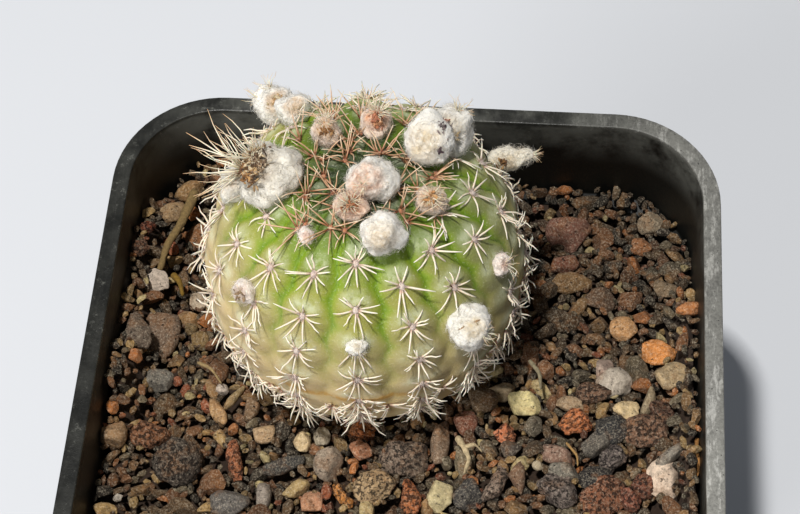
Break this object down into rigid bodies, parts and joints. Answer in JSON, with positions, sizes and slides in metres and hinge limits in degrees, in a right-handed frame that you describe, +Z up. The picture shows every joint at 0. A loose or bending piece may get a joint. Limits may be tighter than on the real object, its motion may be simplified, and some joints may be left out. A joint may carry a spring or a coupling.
{
  "type": "potted frailea buenekeri",
  "caption": "Small ribbed ball cactus with pale spines, woolly buds and dry fruits, standing in gravel in a square black plastic nursery pot.",
  "frame": {"origin": "middle of the pot's flat underside", "axes": "+Z up, out of the pot's mouth; -Y towards the low side of the pot that the picture looks over; +X to the viewer's right"},
  "size_m": [0.06, 0.06, 0.0754],
  "materials": {
    "pot": "black moulded plastic, slightly glossy, with pale mineral deposits at the rim",
    "soil": "dull mixed gravel of lava and pumice in brown, black and cream",
    "stem": "waxy green skin with felted grey-green warts",
    "wool": "off-white felted wool, cream to pale pink",
    "bud": "pink-brown bud scales under short wool",
    "stone_cream": "cream pumice, dull",
    "stone_orange": "orange porous lava, dull",
    "stone_tan": "tan pumice, dull",
    "stone_pink": "pink-white pumice, dull",
    "stone_grey": "grey stone, dull",
    "stone_brown": "red-brown porous lava, dull",
    "stone_black": "near-black porous lava, dull"
  },
  "bodies": {
    "root": {"pot": "pot", "soil": "soil", "stem": "stem", "fruit_left": "wool", "fruit_back_left": "wool", "fruit_back_right": "wool", "bud_right_pointed": "wool", "bud_crown": "wool", "bud_crown_brown": "bud", "bud_front_top": "wool", "bud_pink_right": "bud", "bud_pink_left": "bud", "bud_pink_back": "bud", "bud_small_left": "wool", "bud_lower_right": "wool", "bud_lower_front": "wool", "bud_lower_left": "wool", "bud_side_right": "wool", "stone_cream": "stone_cream", "stone_orange_porous": "stone_orange", "stone_orange_right": "stone_orange", "stone_tan": "stone_tan", "stone_pink_white": "stone_pink", "stone_grey_right": "stone_grey", "stone_brown_back": "stone_brown", "stone_black_porous": "stone_black", "stone_red_brown": "stone_brown", "stone_flat_left": "stone_grey", "stone_dark_left": "stone_black"}
  },
  "joints": []
}
